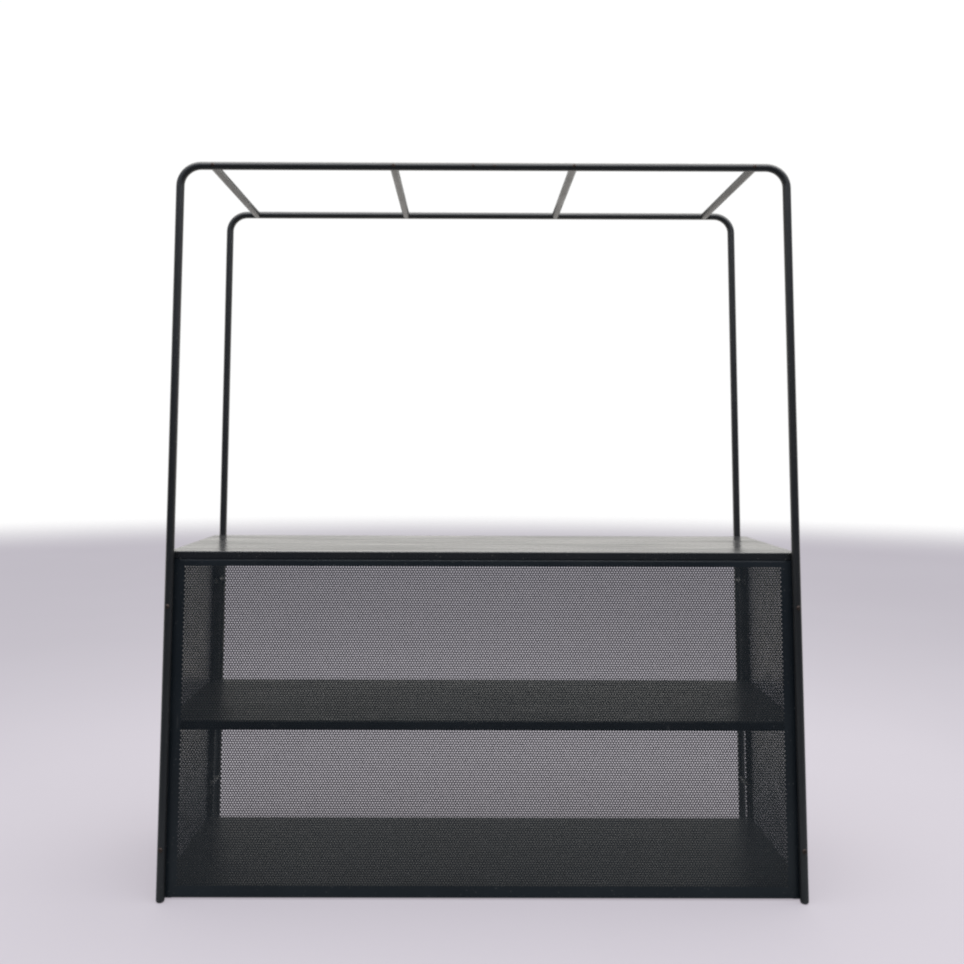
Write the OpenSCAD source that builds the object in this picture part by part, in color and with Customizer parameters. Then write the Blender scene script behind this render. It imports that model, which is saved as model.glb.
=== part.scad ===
// Gondola shelving unit: two bent-tube hoops joined by crossbars, carrying a low cabinet
// with a solid counter, two shelves, a perforated front and sides, and an open back.
// Origin: on the floor, under the middle of the unit. +X right, +Y back, +Z up.

/* [Overall size] */
// Width over the outsides of the tube frame
overall_w = 1440; // [1200:10:1800]
// Height from the floor to the top of the tube frame
overall_h = 1667; // [1400:1:1900]
// Distance from the front tube centres to the rear tube centres
hoop_spacing = 490; // [470:5:600]
// Height of the counter's upper face
counter_h = 763; // [700:1:900]

/* [Tube frame] */
// Outside diameter of the tube
tube_d = 19; // [17:1:25]
// Wall thickness of the tube
tube_wall = 1.5; // [1.2:0.1:2]
// Radius of the hoops' top corners, at the centre of the tube
bend_r = 48; // [40:1:55]
// Number of crossbars between the hoops
bar_count = 4; // [2:2:6]
// Distance from the frame's side to the centre of an outer crossbar
bar_inset = 86; // [86:1:150]
// Length of the sleeve that joins the two halves of a hoop
sleeve_l = 120; // [80:5:160]

/* [Cabinet] */
// Depth of the cabinet, front to back
cab_d = 420; // [400:5:440]
// Gap between the front tubes and the cabinet's front
front_gap = 3.5; // [2:0.5:8]
// Gap between the floor and the cabinet's lower edge
floor_gap = 4; // [4:1:20]
// Thickness of the folded sheet
sheet = 1.2; // [0.8:0.1:1.5]
// Thickness of the counter's sheet
counter_sheet = 1.5; // [1.2:0.1:2]
// Height of the counter's folded edge
counter_edge = 16; // [14:1:20]
// Shadow gap between the counter's edge and the front sheet
shadow_gap = 3; // [2:0.5:5]

/* [Shelves] */
// Height of the middle shelf's upper face
mid_shelf_h = 385; // [300:1:450]
// Height of the bottom shelf's upper face
low_shelf_h = 30; // [30:1:60]
// Depth of both shelves
shelf_d = 406; // [350:1:413]
// Height of the middle shelf's folded edges
shelf_edge = 19; // [12:1:25]

/* [Hidden] */
$fn = 48;
FOOT_NAMES = ["front_left", "front_right", "rear_left", "rear_right"];
FOOT_SIDES = [[-1, -1], [1, -1], [-1, 1], [1, 1]];

// Clearances
fit = 0.15;              // radial gap of a part that sits inside a tube
slip = 0.3;              // gap between folded sheets that slide past each other

// Tube frame
tube_r = tube_d / 2;
bore_r = tube_r - tube_wall;
leg_x = overall_w / 2 - tube_r;
leg_y = hoop_spacing / 2;
top_z = overall_h - tube_r;
bend_x = leg_x - bend_r;
bend_z = top_z - bend_r;
bar_x0 = overall_w / 2 - bar_inset;
bar_step = 2 * bar_x0 / (bar_count - 1);
bar_screw_r = 2.5;
insert_l = 18;
insert_depth = 12;       // from a hoop's centre to the face of the insert
sleeve_screw_r = 2;
sleeve_screw_x = 25;

// Feet
foot_h = 8;
foot_round = 6;
foot_stem_l = 24;

// Cabinet
side_out = overall_w / 2;
front_y = -leg_y + tube_r + front_gap;
back_y = front_y + cab_d;
under_z = counter_h - counter_sheet;          // underside of the counter's sheet
panel_top = counter_h - counter_edge - shadow_gap;
corner_r = 2;                                 // rounding of the counter's corners
side_x = side_out - counter_sheet - slip;     // outer face of a side panel
inner_x = side_x - sheet;                     // inner face of a side panel
panel_front = front_y + counter_sheet + slip; // front face of the side panels
panel_back = back_y - counter_sheet - slip;   // rear face of the side panels
front_flange = 28;
rear_flange = 12.5;
upper_flange = 18;                            // the rear flange's width above the middle shelf
top_flange = 20;
return_d = 18;                                // depth of the front sheet's side returns
fold_d = 15;                                  // depth of its top and bottom folds
fold_x = side_x - front_flange - slip;        // half length of folds and rails
rail_d = 25;
stiffener_w = 40;
stiffener_h = 12;
stiffener_y = [-100, 60];

// Shelves
shelf_x = inner_x - slip;
shelf_front = panel_front + sheet + slip;
shelf_back = shelf_front + shelf_d;
shelf_return = 12;
bracket_h = 20;
bracket_w = 20;
bracket_y = [-200, 150];
bracket_z = mid_shelf_h - shelf_edge;

// Fasteners
leg_screw_z = [114, 642];
leg_screw_r = 3;
leg_washer_r = 7;
standoff_r = 6.5;
nut_h = 5;
hole_gap = 0.3;                               // radial gap of a clearance hole
thread_gap = 0.05;                            // radial gap between a screw and its nut
stud_r = 2.5;
stud_l = 12;
stud_side_y = [-120, 80];
stud_rail_x = [-460, 0, 460];
rivet_r = 2;
rivet_head_r = 4;
rivet_head_h = 1.2;
side_rivet_z = [60, 210, 360, 510, 660];      // clear of the middle shelf's edge and the leg nuts
side_rivet_y = front_y + return_d * 0.6;
rail_rivet_x = [-600, -300, 0, 300, 600];
rail_rivet_y = front_y + fold_d * 0.6;
bracket_rivet_y = [-150, -25, 100];
shelf_screw_y = [-120, 70];
shelf_screw_x = shelf_x - shelf_return / 2 - 1;

FRAME = [0.10, 0.11, 0.13];
PANEL = [0.08, 0.10, 0.13];
COUNTER = [0.20, 0.20, 0.20];
STEEL = [0.62, 0.63, 0.65];
SCREW = [0.16, 0.15, 0.15];
PLASTIC = [0.05, 0.05, 0.05];

function bar_x(i) = -bar_x0 + i * bar_step;

// ---- Building blocks ----

// A box given by its lowest and highest corners
module plate(low, high) {
    translate(low) cube(high - low);
}

// Everything drawn once on the right and once mirrored to the left
module both_sides() {
    children();
    mirror([1, 0, 0]) children();
}

// A rod along Y
module rod_y(r, from, to) {
    translate([0, from, 0]) rotate([-90, 0, 0]) cylinder(r = r, h = to - from);
}

// A rod along X
module rod_x(r, from, to) {
    translate([from, 0, 0]) rotate([0, 90, 0]) cylinder(r = r, h = to - from);
}

// Button-head socket screw: shank down -Z from the seat at z = 0, head above it
module button_screw(r, length) {
    head_r = 1.8 * r;
    head_h = 1.1 * r;
    dome = [for (a = [0:15:75]) [head_r * cos(a), head_h * (0.25 + 0.75 * sin(a))]];
    difference() {
        rotate_extrude()
            polygon(concat(
                [[0, -length], [r * 0.8, -length], [r, -length + r * 0.4], [r, 0], [head_r, 0]],
                dome,
                [[0, head_h]]
            ));
        translate([0, 0, head_h * 0.35]) cylinder(r = r * 0.7, h = head_h, $fn = 6);
    }
}

// Blind rivet through sheets lying between z = 0 and z = -grip
module rivet(grip) {
    dome = [for (a = [0:15:75]) [rivet_head_r * cos(a), rivet_head_h * sin(a)]];
    tail_r = 1.5 * rivet_r;
    rotate_extrude()
        polygon(concat(
            [[0, -grip - 2.5], [rivet_r, -grip - 2.5], [tail_r, -grip - 1.5], [tail_r, -grip]],
            [[rivet_r, -grip], [rivet_r, 0]],
            dome,
            [[0, rivet_head_h]]
        ));
}

// Flange nut with its bearing face at z = 0, standing up +Z
module flange_nut(r) {
    difference() {
        union() {
            cylinder(r = 1.75 * r, h = nut_h, $fn = 6);
            cylinder(r = 2.1 * r, h = 1.2);
        }
        translate([0, 0, -1]) cylinder(r = r + thread_gap, h = nut_h + 2);
    }
}

// ---- Tube frame ----

// The path of half a hoop, as a round bar of radius r in the plane y = 0, on the right
module hoop_path(r, from_z, overrun) {
    translate([leg_x, 0, from_z]) cylinder(r = r, h = bend_z - from_z);
    translate([bend_x, 0, bend_z]) rotate([90, 0, 0])
        rotate_extrude(angle = 90) translate([bend_r, 0]) circle(r = r);
    translate([0, 0, top_z]) rod_x(r, -overrun, bend_x);
}

// Half a hoop on the right, in the plane y = 0, with its outer side facing -Y
module hoop_half() {
    color(FRAME) difference() {
        hoop_path(tube_r, foot_h, 0);
        hoop_path(bore_r, foot_h - 1, 1);
        for (z = leg_screw_z)
            translate([leg_x, 0, z]) rod_y(leg_screw_r + hole_gap, -tube_d, tube_d);
        for (i = [0:bar_count - 1])
            if (bar_x(i) > 0)
                translate([bar_x(i), 0, top_z]) rod_y(bar_screw_r + hole_gap, -tube_d, tube_d);
        translate([sleeve_screw_x, 0, top_z]) rod_y(sleeve_screw_r + hole_gap, -tube_d, 0);
    }
}

// One of the four hoop halves; side is [-1 or 1 for left or right, -1 or 1 for front or rear]
module placed_hoop_half(side) {
    translate([0, side[1] * leg_y, 0])
        mirror([side[0] < 0 ? 1 : 0, 0, 0])
            mirror([0, side[1] > 0 ? 1 : 0, 0])
                hoop_half();
}

// Sleeve inside a hoop's top, with tapped holes facing away from the cabinet
module hoop_sleeve(y_side) {
    color(STEEL) translate([0, y_side * leg_y, top_z]) difference() {
        rod_x(bore_r - fit, -sleeve_l / 2, sleeve_l / 2);
        rod_x(bore_r - fit - tube_wall, -sleeve_l / 2 - 1, sleeve_l / 2 + 1);
        for (x = [-sleeve_screw_x, sleeve_screw_x])
            translate([x, 0, 0])
                rod_y(sleeve_screw_r + thread_gap, min(0, y_side * tube_d), max(0, y_side * tube_d));
    }
}

// Four screws that fix the hoop halves to their sleeves
module hoop_sleeve_screws() {
    color(SCREW) for (y_side = [-1, 1], x = [-sleeve_screw_x, sleeve_screw_x])
        translate([x, y_side * (leg_y + tube_r), top_z])
            rotate([-90 * y_side, 0, 0])
                button_screw(sleeve_screw_r, 2 * tube_wall + 2);
}

// Crossbar number i, its ends cut to fit round the hoops
module crossbar(i) {
    color(FRAME) translate([bar_x(i), 0, top_z]) difference() {
        rod_y(tube_r, -leg_y, leg_y);
        rod_y(bore_r, -leg_y - 1, leg_y + 1);
        for (y_side = [-1, 1])
            translate([0, y_side * leg_y, 0]) rod_x(tube_r + thread_gap, -tube_d, tube_d);
    }
}

// Threaded inserts pressed into both ends of every crossbar
module crossbar_inserts() {
    color(STEEL) for (i = [0:bar_count - 1], y_side = [-1, 1])
        translate([bar_x(i), y_side * (leg_y - insert_depth), top_z])
            rotate([90 * y_side, 0, 0])
                difference() {
                    cylinder(r = bore_r - thread_gap, h = insert_l);
                    translate([0, 0, -1])
                        cylinder(r = bar_screw_r + thread_gap, h = insert_l + 2);
                }
}

// Screws through one hoop into the crossbars
module crossbar_screws(y_side) {
    color(SCREW) for (i = [0:bar_count - 1])
        translate([bar_x(i), y_side * (leg_y + tube_r), top_z])
            rotate([-90 * y_side, 0, 0])
                button_screw(bar_screw_r, tube_r + insert_depth + insert_l - 3);
}

// Rounded glide with a stem that plugs the bottom of a leg
module foot(side) {
    arc = [for (a = [-90:15:0])
        [tube_r - foot_round + foot_round * cos(a), foot_round + foot_round * sin(a)]];
    stem_r = bore_r - fit;
    color(PLASTIC) translate([side[0] * leg_x, side[1] * leg_y, 0])
        rotate_extrude()
            polygon(concat(
                [[0, 0]],
                arc,
                [[tube_r, foot_h], [stem_r, foot_h], [stem_r, foot_h + foot_stem_l - 2]],
                [[stem_r - 2, foot_h + foot_stem_l], [0, foot_h + foot_stem_l]]
            ));
}

// ---- Cabinet ----

// A vertical post with a rounded top, one for each corner of the counter
module counter_corner(x, y) {
    translate([x, y, counter_h - corner_r]) sphere(r = corner_r, $fn = 32);
    translate([x, y, counter_h - counter_edge])
        cylinder(r = corner_r, h = counter_edge - corner_r, $fn = 32);
}

// Solid counter: a sheet with four folded edges and welded studs underneath
module counter_top() {
    post_x = side_out - corner_r;
    color(COUNTER) {
        difference() {
            hull() for (x = [-post_x, post_x], y = [front_y + corner_r, back_y - corner_r])
                counter_corner(x, y);
            plate(
                [-side_out + counter_sheet, front_y + counter_sheet, counter_h - counter_edge - 1],
                [side_out - counter_sheet, back_y - counter_sheet, under_z]
            );
        }
        for (p = stud_places())
            translate([p[0], p[1], under_z - stud_l]) cylinder(r = stud_r, h = stud_l + 0.5);
    }
}

// Where the counter's studs stand: over the side panels' flanges and over both rails
function stud_places() = concat(
    [for (x = [-1, 1], y = stud_side_y) [x * (side_x - top_flange / 2), y]],
    [for (x = stud_rail_x) [x, panel_front + rail_d / 2]],
    [for (x = stud_rail_x) [x, panel_back - rail_d / 2]]
);

module stud_holes() {
    for (p = stud_places())
        translate([p[0], p[1], under_z - 2 * sheet])
            cylinder(r = stud_r + hole_gap, h = 3 * sheet);
}

module counter_nuts() {
    color(STEEL) for (p = stud_places())
        translate([p[0], p[1], under_z - sheet - 0.1]) mirror([0, 0, 1]) flange_nut(stud_r);
}

// Channel under the counter's front edge; its lower flange lies on the front sheet's fold
module counter_rail_front() {
    low_z = panel_top + 0.1;
    top = under_z - 0.1;
    back = panel_front + rail_d;
    color(PANEL) difference() {
        union() {
            plate([-fold_x, panel_front, low_z], [fold_x, panel_front + sheet, top]);
            plate([-fold_x, panel_front, top - sheet], [fold_x, back, top]);
            plate([-fold_x, panel_front, low_z], [fold_x, back - 8, low_z + sheet]);
        }
        stud_holes();
        rail_rivet_holes();
    }
}

// The same channel under the counter's rear edge
module counter_rail_rear() {
    low_z = panel_top + 0.1;
    top = under_z - 0.1;
    front = panel_back - rail_d;
    color(PANEL) difference() {
        union() {
            plate([-fold_x, panel_back - sheet, low_z], [fold_x, panel_back, top]);
            plate([-fold_x, front, top - sheet], [fold_x, panel_back, top]);
            plate([-fold_x, front + 8, low_z], [fold_x, panel_back, low_z + sheet]);
        }
        stud_holes();
    }
}

// Channel of the given length welded under a sheet whose underside is at z = top
module stiffener(half_l, y, top) {
    color(PANEL) difference() {
        plate([-half_l, y - stiffener_w / 2, top - stiffener_h], [half_l, y + stiffener_w / 2, top]);
        plate(
            [-half_l - 1, y - stiffener_w / 2 + sheet, top - stiffener_h + sheet],
            [half_l + 1, y + stiffener_w / 2 - sheet, top + 1]
        );
    }
}

module side_rivet_holes() {
    for (z = side_rivet_z)
        translate([0, side_rivet_y, z]) both_sides()
            rod_x(rivet_r + hole_gap, inner_x - 1, side_out + 1);
}

module rail_rivet_holes() {
    for (x = rail_rivet_x)
        translate([x, rail_rivet_y, panel_top - 2 * sheet])
            cylinder(r = rivet_r + hole_gap, h = 4 * sheet);
}

module leg_screw_holes(from_y, to_y) {
    for (z = leg_screw_z)
        translate([0, 0, z]) both_sides()
            translate([leg_x, 0, 0]) rod_y(leg_screw_r + hole_gap, from_y, to_y);
}

// Front sheet: face, side returns, and a fold along the top and the bottom
module front_panel() {
    face_back = front_y + sheet;
    color(PANEL) difference() {
        union() {
            plate([-side_out, front_y, floor_gap], [side_out, face_back, panel_top]);
            both_sides() plate(
                [side_out - sheet, front_y, floor_gap],
                [side_out, front_y + return_d, panel_top]
            );
            plate([-fold_x, front_y, panel_top - sheet], [fold_x, front_y + fold_d, panel_top]);
            plate([-fold_x, front_y, floor_gap], [fold_x, front_y + fold_d, floor_gap + sheet]);
        }
        side_rivet_holes();
        rail_rivet_holes();
        leg_screw_holes(front_y - 1, face_back + 1);
    }
}

// Side sheet on the right: web, and flanges along all four edges
module side_sheet() {
    top = under_z - 0.1;
    color(PANEL) difference() {
        union() {
            plate([inner_x, panel_front, floor_gap], [side_x, panel_back, top]);
            plate(
                [side_x - front_flange, panel_front, floor_gap],
                [side_x, panel_front + sheet, top]
            );
            plate([side_x - rear_flange, panel_back - sheet, floor_gap], [side_x, panel_back, top]);
            plate([side_x - upper_flange, panel_back - sheet, bracket_z], [side_x, panel_back, top]);
            plate([side_x - top_flange, panel_front, top - sheet], [side_x, panel_back, top]);
            plate(
                [side_x - top_flange, panel_front, floor_gap],
                [side_x, panel_back, floor_gap + sheet]
            );
        }
        side_rivet_holes();
        stud_holes();
        leg_screw_holes(panel_front - 1, panel_back + 1);
        bracket_rivet_holes();
        shelf_screw_holes(floor_gap, hole_gap);
    }
}

module side_panel(side) {
    mirror([side < 0 ? 1 : 0, 0, 0]) side_sheet();
}

// Rivets through the front sheet's returns and the side panels
module panel_rivets() {
    color(SCREW) for (z = side_rivet_z) both_sides()
        translate([side_out, side_rivet_y, z]) rotate([0, 90, 0]) rivet(side_out - inner_x);
}

// Rivets through the front sheet's top fold and the front rail
module rail_rivets() {
    color(SCREW) for (x = rail_rivet_x)
        translate([x, rail_rivet_y, panel_top + 0.1 + sheet]) rivet(2 * sheet + 0.1);
}

// ---- Shelves ----

// Shelf with folded edges down to z = low, and inward returns along both side edges
module shelf(top, low) {
    difference() {
        plate([-shelf_x, shelf_front, low], [shelf_x, shelf_back, top]);
        plate(
            [-shelf_x + sheet, shelf_front + sheet, low + sheet],
            [shelf_x - sheet, shelf_back - sheet, top - sheet]
        );
        plate(
            [-shelf_x + shelf_return, shelf_front + sheet, low - 1],
            [shelf_x - shelf_return, shelf_back - sheet, low + sheet + 1]
        );
    }
}

// Holes around the height z, wider than the screw by gap on every side
module shelf_screw_holes(z, gap) {
    for (y = shelf_screw_y)
        translate([0, y, z]) both_sides() translate([shelf_screw_x, 0, -4 * sheet])
            cylinder(r = sleeve_screw_r + gap, h = 7 * sheet);
}

module middle_shelf() {
    color(PANEL) difference() {
        shelf(mid_shelf_h, bracket_z);
        shelf_screw_holes(bracket_z, thread_gap);
    }
}

module bottom_shelf() {
    color(PANEL) difference() {
        shelf(low_shelf_h, floor_gap + sheet + 0.1);
        shelf_screw_holes(floor_gap, thread_gap);
    }
}

// Angle bracket riveted to the inside of a side panel, on the right
module shelf_bracket() {
    top = bracket_z - 0.1;
    color(PANEL) difference() {
        union() {
            plate(
                [inner_x - sheet, bracket_y[0], top - bracket_h],
                [inner_x - 0.05, bracket_y[1], top]
            );
            plate([inner_x - bracket_w, bracket_y[0], top - sheet], [inner_x - 0.05, bracket_y[1], top]);
        }
        bracket_rivet_holes();
        shelf_screw_holes(bracket_z, hole_gap);
    }
}

module placed_bracket(side) {
    mirror([side < 0 ? 1 : 0, 0, 0]) shelf_bracket();
}

module bracket_rivet_holes() {
    for (y = bracket_rivet_y)
        translate([0, y, bracket_z - bracket_h / 2]) both_sides()
            rod_x(rivet_r + hole_gap, inner_x - 3 * sheet, side_out);
}

module bracket_rivets() {
    color(SCREW) for (y = bracket_rivet_y) both_sides()
        translate([side_x, y, bracket_z - bracket_h / 2]) rotate([0, 90, 0]) rivet(2 * sheet);
}

// Screws from below that hold both shelves down
module shelf_screws() {
    grip = 2 * sheet + 0.1;
    color(SCREW) for (y = shelf_screw_y) both_sides() {
        translate([shelf_screw_x, y, floor_gap]) mirror([0, 0, 1])
            button_screw(sleeve_screw_r, grip + 3);
        translate([shelf_screw_x, y, bracket_z - 0.1 - sheet]) mirror([0, 0, 1])
            button_screw(sleeve_screw_r, grip + 3);
    }
}

// ---- Fixings between the legs and the cabinet ----

// Spacer between a leg at y = 0 and a face at y = to, hollowed to sit against the tube
module leg_spacer(r, to) {
    difference() {
        rod_y(r, min(0, to), max(0, to));
        rod_y(leg_screw_r + hole_gap, -abs(to) - 1, abs(to) + 1);
        translate([0, 0, -2 * r]) cylinder(r = tube_r + thread_gap, h = 4 * r);
    }
}

module leg_washers_front() {
    color(PLASTIC) for (z = leg_screw_z) both_sides()
        translate([leg_x, -leg_y, z]) leg_spacer(leg_washer_r, front_y + leg_y);
}

module leg_standoffs_rear() {
    color(FRAME) for (z = leg_screw_z) both_sides()
        translate([leg_x, leg_y, z]) leg_spacer(standoff_r, panel_back - leg_y);
}

module leg_screws(y_side, length) {
    color(SCREW) for (z = leg_screw_z) both_sides()
        translate([leg_x, y_side * (leg_y + tube_r), z]) rotate([-90 * y_side, 0, 0])
            button_screw(leg_screw_r, length);
}

// Nuts inside the cabinet, against its front and rear flanges
module leg_nuts_front() {
    color(STEEL) for (z = leg_screw_z) both_sides()
        translate([leg_x, panel_front + sheet, z]) rotate([-90, 0, 0]) flange_nut(leg_screw_r);
}

module leg_nuts_rear() {
    color(STEEL) for (z = leg_screw_z) both_sides()
        translate([leg_x, panel_back - sheet, z]) rotate([90, 0, 0]) flange_nut(leg_screw_r);
}

front_screw_l = panel_front + sheet + nut_h + 2 + leg_y + tube_r;
rear_screw_l = leg_y + tube_r - panel_back + sheet + nut_h + 2;

placed_hoop_half([-1, -1]);  // front_hoop_left
placed_hoop_half([1, -1]);  // front_hoop_right
placed_hoop_half([-1, 1]);  // rear_hoop_left
placed_hoop_half([1, 1]);  // rear_hoop_right
hoop_sleeve(-1);  // front_hoop_sleeve
hoop_sleeve(1);  // rear_hoop_sleeve
hoop_sleeve_screws();
for (i = [0:bar_count - 1])
    crossbar(i);
crossbar_inserts();
crossbar_screws(-1);  // crossbar_screws_front
crossbar_screws(1);  // crossbar_screws_rear
for (i = [0:3])
    foot(FOOT_SIDES[i]);
counter_top();
counter_rail_front();
counter_rail_rear();
stiffener(fold_x - 20, stiffener_y[0], under_z - 0.1);  // counter_stiffener_front
stiffener(fold_x - 20, stiffener_y[1], under_z - 0.1);  // counter_stiffener_rear
counter_nuts();
front_panel();
side_panel(-1);  // side_panel_left
side_panel(1);  // side_panel_right
panel_rivets();
rail_rivets();
middle_shelf();
stiffener(shelf_x - 30, (shelf_front + shelf_back) / 2, mid_shelf_h - sheet - 0.1);  // middle_shelf_stiffener
bottom_shelf();
placed_bracket(-1);  // shelf_bracket_left
placed_bracket(1);  // shelf_bracket_right
bracket_rivets();
shelf_screws();
leg_washers_front();
leg_standoffs_rear();
leg_screws(-1, front_screw_l);  // leg_screws_front
leg_screws(1, rear_screw_l);  // leg_screws_rear
leg_nuts_front();
leg_nuts_rear();
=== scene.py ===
import math

import bpy
import numpy as np
from mathutils import Matrix, Vector


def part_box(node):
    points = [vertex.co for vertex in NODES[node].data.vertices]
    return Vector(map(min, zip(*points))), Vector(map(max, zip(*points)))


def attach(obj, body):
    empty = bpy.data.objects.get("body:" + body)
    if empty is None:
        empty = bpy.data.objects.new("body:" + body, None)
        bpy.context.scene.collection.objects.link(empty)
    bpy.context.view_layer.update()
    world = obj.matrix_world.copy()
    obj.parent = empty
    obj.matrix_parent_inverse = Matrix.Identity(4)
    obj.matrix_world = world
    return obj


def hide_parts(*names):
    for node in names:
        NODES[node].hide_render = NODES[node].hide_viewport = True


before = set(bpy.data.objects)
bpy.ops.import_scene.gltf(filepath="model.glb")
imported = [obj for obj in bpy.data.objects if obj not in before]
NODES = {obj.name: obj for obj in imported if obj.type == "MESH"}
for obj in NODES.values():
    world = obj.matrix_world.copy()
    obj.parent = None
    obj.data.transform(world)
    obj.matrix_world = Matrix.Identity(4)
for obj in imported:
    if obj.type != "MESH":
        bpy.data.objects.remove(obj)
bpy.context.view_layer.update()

# ---------------------------------------------------------------- camera

# Where the camera stands (m), how it is turned (rad), its lens and sensor (mm), and its shift
CAM_AT = (-0.0385, -2.5122, 0.9985)
CAM_YAW, CAM_PITCH, CAM_ROLL = 0.0020, 0.0852, 0.0029
CAM_LENS, CAM_SENSOR = 36.82, 36.0
CAM_SHIFT = (0.0138, -0.1222)


def make_camera():
    data = bpy.data.cameras.new("camera")
    data.lens, data.sensor_width, data.sensor_fit = CAM_LENS, CAM_SENSOR, "HORIZONTAL"
    data.shift_x, data.shift_y = CAM_SHIFT
    data.clip_start, data.clip_end = 0.05, 200.0
    camera = bpy.data.objects.new("camera", data)
    ahead = Vector((
        math.sin(CAM_YAW) * math.cos(CAM_PITCH),
        math.cos(CAM_YAW) * math.cos(CAM_PITCH),
        math.sin(CAM_PITCH),
    ))
    right = Vector((math.cos(CAM_YAW), -math.sin(CAM_YAW), 0.0))
    up = right.cross(ahead)
    roll_right = math.cos(CAM_ROLL) * right + math.sin(CAM_ROLL) * up
    roll_up = -math.sin(CAM_ROLL) * right + math.cos(CAM_ROLL) * up
    turn = Matrix((roll_right, roll_up, -ahead)).transposed()
    camera.matrix_world = Matrix.Translation(CAM_AT) @ turn.to_4x4()
    bpy.context.scene.collection.objects.link(camera)
    bpy.context.scene.camera = camera


# ---------------------------------------------------------------- node helpers


class Graph:
    """A short way to add nodes to one node tree."""

    def __init__(self, tree):
        self.tree = tree
        tree.nodes.clear()

    def add(self, kind, **settings):
        node = self.tree.nodes.new(kind)
        for name, value in settings.items():
            setattr(node, name, value)
        return node

    def put(self, node, socket, value):
        """Links an output to an input, or sets a plain value on it."""
        if isinstance(value, bpy.types.NodeSocket):
            self.tree.links.new(value, node.inputs[socket])
        else:
            node.inputs[socket].default_value = value

    def place(self, stretch=(1.0, 1.0, 1.0), turn=(0.0, 0.0, 0.0)):
        """Object coordinates in metres, stretched."""
        coord = self.add("ShaderNodeTexCoord")
        mapping = self.add("ShaderNodeMapping")
        self.put(mapping, "Vector", coord.outputs["Object"])
        self.put(mapping, "Scale", stretch)
        self.put(mapping, "Rotation", turn)
        return mapping.outputs["Vector"]

    def noise(self, at, scale, detail=3.0, rough=0.5, warp=0.0):
        node = self.add("ShaderNodeTexNoise")
        self.put(node, "Vector", at)
        for socket, value in (
            ("Scale", scale), ("Detail", detail), ("Roughness", rough), ("Distortion", warp)
        ):
            self.put(node, socket, value)
        return node.outputs["Fac"]

    def cells(self, at, scale):
        node = self.add("ShaderNodeTexVoronoi", feature="F1")
        self.put(node, "Vector", at)
        self.put(node, "Scale", scale)
        return node.outputs["Distance"]

    def remap(self, value, low, high, to_low, to_high, smooth=False):
        node = self.add("ShaderNodeMapRange", clamp=True)
        if smooth:
            node.interpolation_type = "SMOOTHSTEP"
        for socket, v in (
            ("Value", value), ("From Min", low), ("From Max", high),
            ("To Min", to_low), ("To Max", to_high),
        ):
            self.put(node, socket, v)
        return node.outputs["Result"]

    def math(self, how, a, b):
        node = self.add("ShaderNodeMath", operation=how)
        self.put(node, 0, a)
        self.put(node, 1, b)
        return node.outputs[0]

    def mix(self, share, a, b):
        node = self.add("ShaderNodeMix", data_type="RGBA")
        self.put(node, 0, share)
        self.put(node, 6, a if isinstance(a, bpy.types.NodeSocket) else (*a, 1.0))
        self.put(node, 7, b if isinstance(b, bpy.types.NodeSocket) else (*b, 1.0))
        return node.outputs[2]

    def ramp(self, value, stops, tint=(1.0, 1.0, 1.0)):
        node = self.add("ShaderNodeValToRGB")
        self.put(node, "Fac", value)
        spots = node.color_ramp.elements
        while len(spots) < len(stops):
            spots.new(0.5)
        for spot, (at, level) in zip(spots, stops):
            spot.position = at
            spot.color = (*(level * c for c in tint), 1.0)
        return node.outputs["Color"]

    def bump(self, height, strength, distance, normal=None):
        node = self.add("ShaderNodeBump")
        self.put(node, "Height", height)
        self.put(node, "Strength", strength)
        self.put(node, "Distance", distance)
        if normal is not None:
            self.put(node, "Normal", normal)
        return node.outputs["Normal"]


def new_material(name):
    material = bpy.data.materials.new(name)
    material.use_nodes = True
    graph = Graph(material.node_tree)
    out = graph.add("ShaderNodeOutputMaterial")
    shader = graph.add("ShaderNodeBsdfPrincipled")
    graph.put(out, "Surface", shader.outputs["BSDF"])
    return material, graph, shader


# ---------------------------------------------------------------- materials


def powder_coat(
    name, dark, light, dust, gloss, peel=0.5, streak=(1.0, 1.0, 1.0), fresh=0.5, wave=0.0
):
    """Baked paint on steel. dark and light are the ends of its colour, dust the colour of the
    specks, gloss the lowest and highest roughness, peel the strength of its orange peel, streak
    the stretch of its wipe marks, fresh its specular level, and wave the sheet's own waviness."""
    material, g, shader = new_material(name)
    at = g.place()
    cloud = g.noise(at, 5.0, 4.0, 0.55)
    smear = g.noise(g.place(streak), 9.0, 5.0, 0.6, 0.4)
    grain = g.noise(at, 420.0, 2.0, 0.5)
    speck = g.remap(g.noise(at, 260.0, 1.0, 0.4), 0.735, 0.80, 0.0, 1.0)
    scuff = g.remap(g.noise(g.place((26.0, 26.0, 3.0), (0.3, 0.2, 0.5)), 4.0, 3.0, 0.5, 1.2),
                    0.70, 0.80, 0.0, 1.0)
    base = g.mix(g.remap(cloud, 0.3, 0.7, 0.0, 1.0), dark, light)
    base = g.mix(g.math("MULTIPLY", speck, 0.65), base, dust)
    base = g.mix(g.math("MULTIPLY", scuff, 0.25), base, dust)
    g.put(shader, "Base Color", base)
    rough = g.remap(smear, 0.3, 0.7, gloss[0], gloss[1])
    rough = g.math("ADD", rough, g.math("MULTIPLY", scuff, 0.12))
    rough = g.math("ADD", rough, g.math("MULTIPLY", g.math("SUBTRACT", grain, 0.5), 0.06))
    g.put(shader, "Roughness", rough)
    g.put(shader, "Specular IOR Level", fresh)
    normal = g.bump(g.noise(at, 520.0, 1.5, 0.45), peel, 0.00006)
    if wave:
        normal = g.bump(g.noise(g.place((0.5, 1.0, 1.0)), 7.0, 1.0, 0.4), wave, 0.002, normal)
    g.put(shader, "Normal", normal)
    return material


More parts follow.
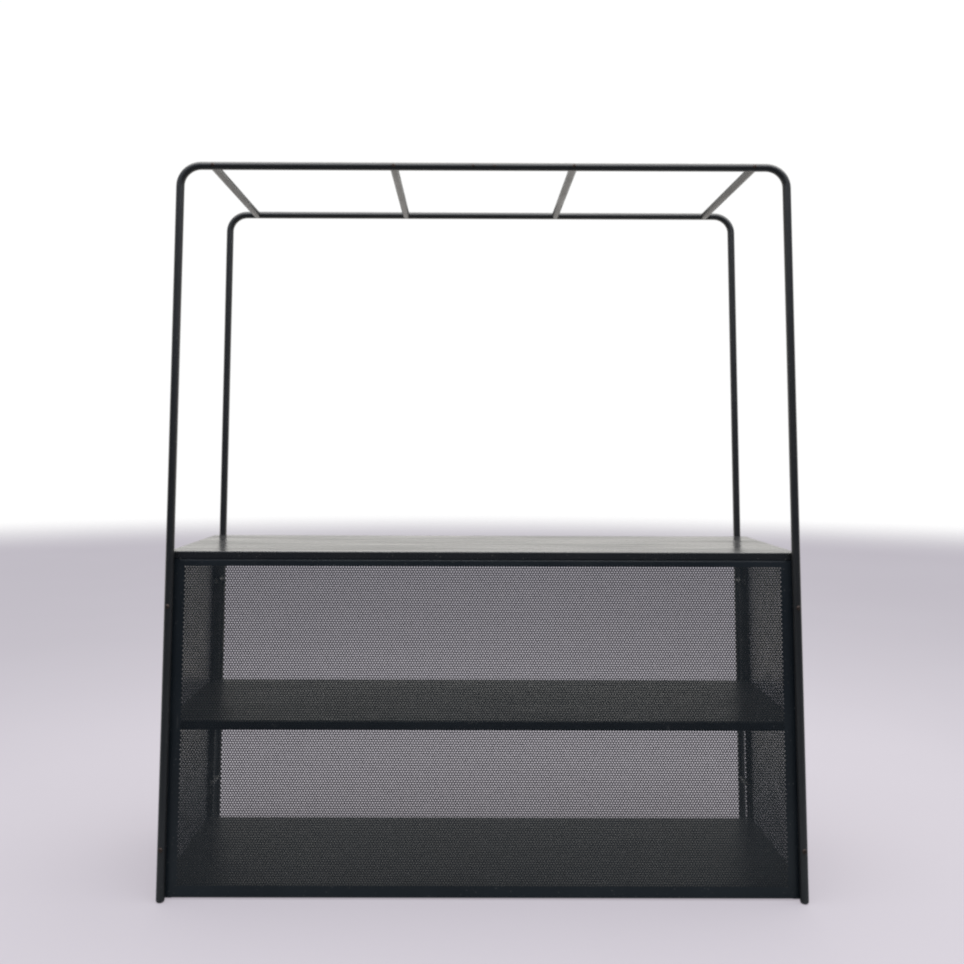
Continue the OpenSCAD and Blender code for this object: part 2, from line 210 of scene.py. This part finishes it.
def plated_steel(name, dark, light, gloss, metal):
    """Zinc-plated or blackened steel, with grain and spots."""
    material, g, shader = new_material(name)
    at = g.place()
    patch = g.noise(at, 160.0, 4.0, 0.6)
    spangle = g.cells(at, 420.0)
    share = g.math("ADD", g.math("MULTIPLY", patch, 0.7), g.math("MULTIPLY", spangle, 0.4))
    g.put(shader, "Base Color", g.mix(g.remap(share, 0.3, 0.75, 0.0, 1.0), dark, light))
    g.put(shader, "Roughness", g.remap(patch, 0.3, 0.7, gloss[0], gloss[1]))
    g.put(shader, "Metallic", metal)
    g.put(shader, "Normal", g.bump(g.noise(at, 900.0, 2.0, 0.5), 0.3, 0.00004))
    return material


def moulded_nylon(name, dark, light, gloss):
    """Black moulded plastic with a fine satin texture."""
    material, g, shader = new_material(name)
    at = g.place()
    cloud = g.noise(at, 60.0, 3.0, 0.5)
    g.put(shader, "Base Color", g.mix(g.remap(cloud, 0.3, 0.7, 0.0, 1.0), dark, light))
    g.put(shader, "Roughness", g.remap(g.noise(at, 240.0, 2.0, 0.5), 0.3, 0.7, gloss[0], gloss[1]))
    g.put(shader, "Normal", g.bump(g.noise(at, 1400.0, 2.0, 0.5), 0.4, 0.00003))
    return material


MATERIALS = {
    "tube_frame_paint": powder_coat(
        "tube_paint", (0.0072, 0.0078, 0.0088), (0.0125, 0.0125, 0.0128), (0.11, 0.105, 0.10),
        (0.30, 0.42), peel=0.45, streak=(1.0, 1.0, 0.4),
    ),
    "panel_paint": powder_coat(
        "sheet_paint", (0.0040, 0.0066, 0.0094), (0.0068, 0.0102, 0.0134), (0.13, 0.125, 0.12),
        (0.32, 0.44), peel=0.5, fresh=0.38,
    ),
    "shelf_paint": powder_coat(
        "shelf_enamel", (0.0080, 0.0088, 0.0105), (0.0125, 0.0130, 0.0145), (0.16, 0.15, 0.13),
        (0.30, 0.44), peel=0.45, streak=(0.5, 2.0, 1.0), fresh=0.36, wave=0.05,
    ),
    "counter_paint": powder_coat(
        "counter_enamel", (0.0078, 0.0086, 0.0105), (0.0120, 0.0122, 0.0130), (0.15, 0.14, 0.12),
        (0.22, 0.32), peel=0.30, streak=(0.25, 4.0, 1.0), wave=0.04,
    ),
    "zinc_steel": plated_steel(
        "zinc_plate", (0.34, 0.34, 0.35), (0.62, 0.62, 0.63), (0.30, 0.50), 1.0
    ),
    "black_fastener": plated_steel(
        "black_oxide", (0.020, 0.015, 0.013), (0.060, 0.040, 0.032), (0.38, 0.55), 0.6
    ),
    "black_nylon": moulded_nylon(
        "nylon", (0.0085, 0.0085, 0.0090), (0.0170, 0.0170, 0.0175), (0.45, 0.62)
    ),
}


# CAD nodes of folded sheet, whose edges get a small rounding
FOLDED = (
    "counter_rail_front", "counter_rail_rear", "counter_stiffener_front",
    "counter_stiffener_rear", "middle_shelf", "middle_shelf_stiffener", "bottom_shelf",
    "shelf_bracket_left", "shelf_bracket_right",
)
EDGE_R = 0.0004
EDGE_ANGLE = math.radians(50)       # edges flatter than this stay as they are
WELD_GAP = 0.00001


def dress_cad_nodes():
    """Gives every carried-over CAD node the material of its slot, and rounds folded edges."""
    for node in NODES.values():
        for slot in node.material_slots:
            slot.material = MATERIALS[slot.material.name.split(".")[0]]
    for name in FOLDED:
        node = NODES[name]
        weld = node.modifiers.new("weld", "WELD")
        weld.merge_threshold = WELD_GAP
        bevel = node.modifiers.new("bevel", "BEVEL")
        bevel.width, bevel.segments = EDGE_R, 2
        bevel.limit_method, bevel.angle_limit = "ANGLE", EDGE_ANGLE


# ---------------------------------------------------------------- perforated sheets

PITCH = 0.006                       # between hole centres, along a row
ROW = PITCH * math.sqrt(3) / 2      # between rows
ROWS = 135
FRONT_COLUMNS, SIDE_COLUMNS = 227, 63
FRONT_BANDS = [17] * 7 + [16]       # rows in each piece, few enough for its export
SIDE_BANDS = [68, 67]
HOLE_SIDES = 8
FRONT_HOLE_R, SIDE_HOLE_R = 0.00186, 0.00196
FRONT_SHEET, SIDE_SHEET = 0.0010, 0.0007    # thickness
ZONE_LOW = 0.0292                   # height of the lowest row's lower edge
SIDE_INSET = 0.0195                 # from a side sheet's front edge to its first holes
FRONT_RETURN = 0.015                # depth of the front sheet's folds at its top and bottom
SIDE_RELIEF = 0.004                 # gap between a side sheet's folds at its corners
SIDE_FLANGE = {"front": 0.028, "rear": 0.0125, "upper": 0.018, "top": 0.020, "bottom": 0.020}
BEND = 0.002                        # outside radius of a fold

OUTER, INNER, WALLS, RIM = range(4)     # the kinds of faces of a band
# The texture map's margin, where its upper half starts, the height of each half, how far the
# rim stands out, and the share of a hole's radius that its wall takes
MAP_EDGE, MAP_OUTER, MAP_HALF, MAP_RIM, MAP_WALL = 0.01, 0.52, 0.47, 0.004, 0.4


def hole_lattice(columns, first_row, rows):
    """Holes on a 60 degree lattice, every second row shifted by half a pitch. Gives the grid
    point at the lower left of each hole's cell, and the holes' centres along and up."""
    per_line = 2 * columns + 1
    corner, centre_u, centre_v = [], [], []
    for j in range(rows):
        odd = (first_row + j) % 2
        i = np.arange(columns - odd)
        corner.append(2 * i + odd + j * per_line)
        centre_u.append((i + 0.5 + 0.5 * odd) * PITCH)
        centre_v.append(np.full(i.size, (j + 0.5) * ROW))
    return np.concatenate(corner), np.concatenate(centre_u), np.concatenate(centre_v)


def cell_faces(corner, per_line, first_point):
    """The faces between each hole and the outline of its cell, as quads and triangles, and
    the ring of points round each hole. The holes' points start at first_point."""
    bl, bm, br = corner, corner + 1, corner + 2
    tl, tm, tr = corner + per_line, corner + per_line + 1, corner + per_line + 2
    h90, h135, h180, h225, h270, h315, h0, h45 = (
        first_point + np.arange(corner.size) * HOLE_SIDES + k for k in range(HOLE_SIDES)
    )
    quads = [
        np.stack(q, 1) for q in (
            (tm, tl, h135, h90), (bl, bm, h270, h225), (bm, br, h315, h270), (tr, tm, h90, h45)
        )
    ]
    tris = [
        np.stack(t, 1) for t in (
            (tl, bl, h180), (bl, h225, h180), (tl, h180, h135),
            (br, tr, h0), (br, h0, h315), (tr, h45, h0),
        )
    ]
    ring = np.stack([h90, h135, h180, h225, h270, h315, h0, h45], 1)
    return quads, tris, ring


def half_cells(first_row, rows, per_line):
    """The plain half cells at both ends of each shifted row."""
    faces = []
    for j in range(rows):
        if (first_row + j) % 2:
            for k in (0, per_line - 2):
                a = j * per_line + k
                faces.append(np.array([[a, a + 1, a + 1 + per_line, a + per_line]]))
    return faces


def rim_faces(rows, per_line, inner):
    """The faces round the outside of a band, from its outer face to its inner one, whose
    points are numbered inner higher."""
    k = np.arange(per_line - 1)
    j = np.arange(rows) * per_line
    top, right = rows * per_line, per_line - 1
    return np.concatenate([
        np.stack([k + 1, k, k + inner, k + 1 + inner], 1),
        np.stack([top + k, top + k + 1, top + k + 1 + inner, top + k + inner], 1),
        np.stack([j, j + per_line, j + per_line + inner, j + inner], 1),
        np.stack([
            j + right + per_line, j + right, j + right + inner, j + right + per_line + inner,
        ], 1),
    ])


def map_band(mesh, loop_verts, part, flat, wall, per_line, size):
    """Gives a band its texture map: the outer face above, the inner face below, the hole
    walls inside their own holes and the rim beside the edge. part says what each corner's
    face is, and flat and wall are the points' places on the face and drawn into their holes."""
    (u, v), (wall_u, wall_v), (span_u, span_v) = flat, wall, size
    inner = loop_verts >= u.size
    index = loop_verts % u.size
    in_wall, in_rim = (part == WALLS) & inner, (part == RIM) & inner
    map_u = np.where(in_wall, wall_u[index], u[index])
    map_v = np.where(in_wall, wall_v[index], v[index])
    top, right = round(span_v / ROW) * per_line, per_line - 1
    map_u = np.where(in_rim & (index % per_line == 0), map_u - MAP_RIM, map_u)
    map_u = np.where(in_rim & (index % per_line == right), map_u + MAP_RIM, map_u)
    map_v = np.where(in_rim & (index < per_line), map_v - MAP_RIM * span_v, map_v)
    map_v = np.where(in_rim & (index >= top), map_v + MAP_RIM * span_v, map_v)
    s = MAP_EDGE + (1 - 2 * MAP_EDGE) * np.clip(map_u / span_u, -0.01, 1.01)
    t = MAP_HALF * map_v / span_v + np.where(part == INNER, MAP_EDGE, MAP_OUTER)
    layer = mesh.uv_layers.new(name="OFBake")
    layer.data.foreach_set("uv", np.stack([s, t], 1).astype(np.float32).ravel())


def perforated_band(name, origin, along, into, thick, columns, first_row, rows, hole_r):
    """A closed strip of perforated sheet. Its lower corner is at origin, its rows run along
    the direction along, and its thickness goes in the direction into."""
    along, into, up = np.array(along), np.array(into), np.array((0.0, 0.0, 1.0))
    per_line = 2 * columns + 1
    corner, centre_u, centre_v = hole_lattice(columns, first_row, rows)
    grid_count = per_line * (rows + 1)
    angles = np.radians(90 + 360 / HOLE_SIDES * np.arange(HOLE_SIDES))
    out_u, out_v = np.cos(angles), np.sin(angles)
    u = np.concatenate([
        np.tile(np.arange(per_line) * PITCH / 2, rows + 1),
        (centre_u[:, None] + hole_r * out_u).ravel(),
    ])
    v = np.concatenate([
        np.repeat(np.arange(rows + 1) * ROW, per_line),
        (centre_v[:, None] + hole_r * out_v).ravel(),
    ])
    outer = np.array(origin) + u[:, None] * along + v[:, None] * up
    verts = np.concatenate([outer, outer + thick * into])

    quads, tris, ring = cell_faces(corner, per_line, grid_count)
    quads = np.concatenate([*quads, *half_cells(first_row, rows, per_line)])
    tris = np.concatenate(tris)
    turned = np.roll(ring, -1, axis=1)
    walls = np.stack([ring, turned, turned + u.size, ring + u.size], 2).reshape(-1, 4)
    rim = rim_faces(rows, per_line, u.size)
    all_quads = np.concatenate([quads, quads[:, ::-1] + u.size, walls, rim])
    all_tris = np.concatenate([tris, tris[:, ::-1] + u.size])
    mesh = mesh_from(name, verts, all_quads, all_tris)

    part = np.concatenate([
        np.repeat([OUTER, INNER, WALLS, RIM],
                  [4 * len(faces) for faces in (quads, quads, walls, rim)]),
        np.repeat([OUTER, INNER], 3 * len(tris)),
    ])
    plain = np.zeros(grid_count)
    wall = (
        u - MAP_WALL * hole_r * np.concatenate([plain, np.tile(out_u, corner.size)]),
        v - MAP_WALL * hole_r * np.concatenate([plain, np.tile(out_v, corner.size)]),
    )
    loop_verts = np.concatenate([all_quads.ravel(), all_tris.ravel()])
    map_band(mesh, loop_verts, part, (u, v), wall, per_line, (columns * PITCH, rows * ROW))
    return finish_piece(name, mesh)


def mesh_from(name, verts, quads, tris):
    """A flat-shaded mesh from arrays of points, quads and triangles."""
    mesh = bpy.data.meshes.new(name)
    mesh.vertices.add(len(verts))
    mesh.vertices.foreach_set("co", verts.astype(np.float32).ravel())
    loops = np.concatenate([quads.ravel(), tris.ravel()]).astype(np.int32)
    mesh.loops.add(loops.size)
    mesh.loops.foreach_set("vertex_index", loops)
    starts = np.concatenate([
        np.arange(len(quads)) * 4, len(quads) * 4 + np.arange(len(tris)) * 3
    ]).astype(np.int32)
    mesh.polygons.add(starts.size)
    mesh.polygons.foreach_set("loop_start", starts)
    mesh.update(calc_edges=True)
    mesh.shade_flat()
    return mesh


def finish_piece(name, mesh):
    """Puts a sheet's mesh into the scene, with the panels' paint."""
    piece = bpy.data.objects.new(name, mesh)
    bpy.context.scene.collection.objects.link(piece)
    mesh.materials.append(MATERIALS["panel_paint"])
    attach(piece, "root")
    return piece


class Skin:
    """The outer face of a folded sheet, made of quads that share their corners."""

    def __init__(self):
        self.verts, self.faces, self.index = [], [], {}

    def vert(self, p):
        key = tuple(round(c * 1e6) for c in p)
        if key not in self.index:
            self.index[key] = len(self.verts)
            self.verts.append(p)
        return self.index[key]

    def sweep(self, profile, places):
        """A strip through the points that profile(t) gives at each place t."""
        rows = [profile(t) for t in places]
        for low, high in zip(rows, rows[1:]):
            for a, b, c, d in zip(low, low[1:], high[1:], high):
                self.faces.append([self.vert(p) for p in (a, b, c, d)])

    def piece(self, name, thick, mirrored):
        """mirrored turns the faces over, for a skin drawn on the other side."""
        mesh = bpy.data.meshes.new(name)
        faces = [f[::-1] for f in self.faces] if mirrored else self.faces
        mesh.from_pydata(self.verts, [], faces)
        mesh.shade_flat()
        piece = finish_piece(name, mesh)
        solid = piece.modifiers.new("solid", "SOLIDIFY")
        solid.thickness, solid.offset, solid.use_even_offset = thick, -1.0, True
        return piece


def fold_points(start, corner, end, steps=5):
    """From start to end by way of a rounded corner. Points are pairs."""
    start, corner, end = Vector(start), Vector(corner), Vector(end)
    back, on = (start - corner).normalized(), (end - corner).normalized()
    centre = corner + (back + on) * BEND
    arc = []
    for i in range(steps + 1):
        a = math.radians(90 * i / steps)
        arc.append(centre - on * BEND * math.cos(a) - back * BEND * math.sin(a))
    return [start, *arc, end]


def make_front_sheet():
    """The perforated bands of the front sheet and the folded frame round them."""
    low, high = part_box("front_panel")
    half = FRONT_COLUMNS * PITCH / 2
    zone_low, zone_high = ZONE_LOW, ZONE_LOW + ROWS * ROW
    y, side, fold_x = low.y, high.x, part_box("counter_rail_front")[1].x
    return_y, fold_y = high.y, y + FRONT_RETURN
    pieces = []
    row = 0
    for i, rows in enumerate(FRONT_BANDS):
        pieces.append(perforated_band(
            f"front_sheet_holes_{i + 1}", (-half, y, zone_low + row * ROW), (1.0, 0.0, 0.0),
            (0.0, 1.0, 0.0), FRONT_SHEET, FRONT_COLUMNS, row, rows, FRONT_HOLE_R,
        ))
        row += rows
    skin = Skin()
    z0, z1 = low.z, high.z
    for sign in (-1, 1):
        bend = fold_points((fold_x, y), (side, y), (side, return_y))

        def column(z, bend=bend, sign=sign):
            line = [(sign * p.x, p.y, z) for p in bend]
            return line if sign > 0 else line[::-1]

        skin.sweep(column, [z0, z0 + BEND, zone_low, zone_high, z1 - BEND, z1])

        def strip(z, sign=sign):
            line = [(sign * half, y, z), (sign * fold_x, y, z)]
            return line if sign > 0 else line[::-1]

        skin.sweep(strip, [z0 + BEND, zone_low, zone_high, z1 - BEND])
    across = [-fold_x, -half, half, fold_x]
    top = fold_points((y, zone_high), (y, z1), (fold_y, z1))
    bottom = fold_points((y, zone_low), (y, z0), (fold_y, z0))[::-1]

    def top_fold(i):
        return [(x, top[i].x, top[i].y) for x in across]

    def bottom_fold(i):
        return [(x, bottom[i].x, bottom[i].y) for x in across]

    skin.sweep(top_fold, range(1, len(top)))
    skin.sweep(bottom_fold, range(0, len(bottom) - 1))
    for line in ((z0 + BEND, zone_low), (zone_high, z1 - BEND)):
        skin.sweep(lambda z: [(-half, y, z), (half, y, z)], line)
    pieces.append(skin.piece("front_sheet_frame", FRONT_SHEET, False))
    for piece in pieces:
        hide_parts("front_panel")


def make_side_sheet(name, sign):
    """The perforated bands of a side sheet and the folded frame round them. sign is -1 for
    the left sheet and 1 for the right one."""
    node = f"side_panel_{name}"
    low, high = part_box(node)
    outer = high.x if sign > 0 else -low.x
    y0, y1, z0, z1 = low.y, high.y, low.z, high.z
    zone_low, zone_high = ZONE_LOW, ZONE_LOW + ROWS * ROW
    zone_y0 = y0 + SIDE_INSET
    zone_y1 = zone_y0 + SIDE_COLUMNS * PITCH
    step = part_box("middle_shelf")[0].z      # the rear flange is wider from here up
    start = (sign * outer, zone_y0 if sign > 0 else zone_y1)
    pieces = []
    row = 0
    for i, rows in enumerate(SIDE_BANDS):
        pieces.append(perforated_band(
            f"side_sheet_{name}_holes_{i + 1}", (*start, zone_low + row * ROW),
            (0.0, float(sign), 0.0), (-float(sign), 0.0, 0.0), SIDE_SHEET, SIDE_COLUMNS,
            row, rows, SIDE_HOLE_R,
        ))
        row += rows
    skin = Skin()
    top_y0, top_y1 = y0 + SIDE_RELIEF, y1 - SIDE_RELIEF
    front = fold_points((outer, top_y0), (outer, y0), (outer - SIDE_FLANGE["front"], y0))[::-1]
    rear = fold_points((outer, top_y1), (outer, y1), (outer - SIDE_FLANGE["rear"], y1))
    levels = [z0, z0 + BEND, zone_low, zone_high, z1 - BEND, z1]

    def column(points):
        return lambda z: [(sign * p.x, p.y, z) for p in points]

    skin.sweep(column(front), levels)
    skin.sweep(column(rear), [*levels[:3], step])
    skin.sweep(column([*rear, Vector((outer - SIDE_FLANGE["upper"], y1))]), [step, *levels[3:]])
    for span in ((top_y0, zone_y0), (zone_y1, top_y1)):
        skin.sweep(lambda z: [(sign * outer, v, z) for v in span], levels[1:-1])
    for band in (levels[1:3], levels[3:5]):
        skin.sweep(lambda z: [(sign * outer, v, z) for v in (zone_y0, zone_y1)], band)
    across = [top_y0, zone_y0, zone_y1, top_y1]
    top = fold_points((outer, zone_high), (outer, z1), (outer - SIDE_FLANGE["top"], z1))
    bottom = fold_points((outer, zone_low), (outer, z0), (outer - SIDE_FLANGE["bottom"], z0))[::-1]
    skin.sweep(lambda i: [(sign * top[i].x, v, top[i].y) for v in across], range(1, len(top)))
    skin.sweep(
        lambda i: [(sign * bottom[i].x, v, bottom[i].y) for v in across],
        range(0, len(bottom) - 1),
    )
    pieces.append(skin.piece(f"side_sheet_{name}_frame", SIDE_SHEET, sign < 0))
    for piece in pieces:
        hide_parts(node)


# ---------------------------------------------------------------- studio

FLOOR_R = 16.0
FLOOR_FADE = (8.0, 13.0)            # distance over which the floor gives way to the backdrop
# Painted light: for the camera the floor glows, more near the unit, lifting the unit's shadow on it
FLOOR_PAINTED_GLOW = (1.0, 3.5, 0.41, 0.355)    # near and far distances, and the glow at each


def make_floor():
    """A pale floor. For the camera it glows with painted light, most near the unit, and its
    reflections show a painted shade before the unit and painted light behind it.
    """
    bpy.ops.mesh.primitive_grid_add(size=2 * FLOOR_R, x_subdivisions=8, y_subdivisions=8)
    floor = bpy.context.object
    floor.name = "floor"
    material, g, shader = new_material("floor_paint_and_painted_light")
    at = g.place()
    tint = g.noise(at, 0.8, 3.0, 0.5)
    seen = g.mix(g.remap(tint, 0.3, 0.7, 0.0, 1.0), (0.140, 0.136, 0.144), (0.148, 0.144, 0.152))
    # Painted shade and light: reflections and bounce light see the floor dark before the unit and
    # pale behind it, apart from the colour the camera sees
    coord = g.add("ShaderNodeTexCoord")
    parts = g.add("ShaderNodeSeparateXYZ")
    g.put(parts, "Vector", coord.outputs["Object"])
    close = g.remap(parts.outputs["Y"], -1.6, -0.4, 0.0, 1.0, True)
    behind = g.remap(parts.outputs["Y"], 0.2, 1.6, 0.0, 1.0, True)
    painted_bounce = g.mix(close, (0.075, 0.080, 0.090), (0.24, 0.25, 0.26))
    painted_bounce = g.mix(behind, painted_bounce, (0.80, 0.745, 0.685))
    path = g.add("ShaderNodeLightPath")
    # The camera sees the plain floor colour; all other rays see the painted shade and light
    g.put(shader, "Base Color", g.mix(path.outputs["Is Camera Ray"], painted_bounce, seen))
    # Painted light: the lilac tint of the floor's glow for the camera, though the floor is no lamp
    g.put(shader, "Emission Color", (0.985, 0.905, 1.0, 1.0))
    length = g.add("ShaderNodeVectorMath", operation="LENGTH")
    g.put(length, 0, coord.outputs["Object"])
    painted_glow = g.remap(length.outputs["Value"], *FLOOR_PAINTED_GLOW, True)
    g.put(shader, "Emission Strength", g.math("MULTIPLY", path.outputs["Is Camera Ray"], painted_glow))
    g.put(shader, "Roughness", g.remap(tint, 0.3, 0.7, 0.85, 0.95))
    g.put(shader, "Specular IOR Level", 0.0)
    g.put(shader, "Alpha", g.remap(length.outputs["Value"], *FLOOR_FADE, 1.0, 0.0, True))
    floor.data.materials.append(material)


# Height of the ray's end (-1 down, 1 up) against brightness, seen past the unit and past the viewer
REAR_SKY = (
    (0.0, 0.55), (0.37, 0.90), (0.50, 1.40), (0.551, 1.95), (0.577, 1.08), (0.62, 0.20),
    (0.68, 0.40), (0.85, 1.6), (1.0, 1.9),
)
FRONT_SKY = (
    (0.0, 0.08), (0.50, 0.06), (0.54, 0.10), (0.57, 0.22), (0.60, 0.50), (0.65, 0.85), (0.75, 1.0),
    (0.90, 1.4), (1.0, 1.7),
)
REAR_TINT, FRONT_TINT = (1.02, 1.0, 0.96), (0.90, 0.98, 1.12)


def make_world():
    """A white backdrop for the camera, and soft boxes of light for everything else."""
    world = bpy.data.worlds.new("studio")
    bpy.context.scene.world = world
    world.use_nodes = True
    g = Graph(world.node_tree)
    out = g.add("ShaderNodeOutputWorld")
    coord = g.add("ShaderNodeTexCoord")
    parts = g.add("ShaderNodeSeparateXYZ")
    g.put(parts, "Vector", coord.outputs["Generated"])
    height = g.remap(parts.outputs["Z"], -1.0, 1.0, 0.0, 1.0)
    scale = 2.0                     # the ramps hold half the brightness
    rear = g.ramp(height, [(a, b / scale) for a, b in REAR_SKY], REAR_TINT)
    near = g.ramp(height, [(a, b / scale) for a, b in FRONT_SKY], FRONT_TINT)
    to_rear = g.remap(parts.outputs["Y"], -0.35, 0.45, 0.0, 1.0, True)
    sky = g.add("ShaderNodeBackground")
    g.put(sky, "Color", g.mix(to_rear, near, rear))
    g.put(sky, "Strength", scale)
    plain = g.add("ShaderNodeBackground")
    g.put(plain, "Color", (1.0, 1.0, 1.0, 1.0))
    g.put(plain, "Strength", 1.02)
    path = g.add("ShaderNodeLightPath")
    both = g.add("ShaderNodeMixShader")
    g.put(both, 0, path.outputs["Is Camera Ray"])
    g.put(both, 1, sky.outputs["Background"])
    g.put(both, 2, plain.outputs["Background"])
    g.put(out, "Surface", both.outputs["Shader"])


def area_light(name, at, toward, size, power, colour):
    """A rectangular light at one point, aimed at another."""
    data = bpy.data.lights.new(name, "AREA")
    data.shape, data.size, data.size_y = "RECTANGLE", size[0], size[1]
    data.energy, data.color = power, colour
    light = bpy.data.objects.new(name, data)
    aim = (Vector(toward) - Vector(at)).to_track_quat("-Z", "Y")
    light.matrix_world = Matrix.Translation(at) @ aim.to_matrix().to_4x4()
    bpy.context.scene.collection.objects.link(light)


make_camera()
make_world()
make_floor()
area_light("overhead", (0.5, -0.3, 3.3), (0.4, -0.2, 0.0), (4.2, 3.8), 170.0, (1.0, 0.985, 0.95))
bpy.context.scene.view_settings.view_transform = "Standard"
bpy.context.scene.cycles.filter_width = 2.3

make_front_sheet()
make_side_sheet("left", -1)
make_side_sheet("right", 1)
dress_cad_nodes()
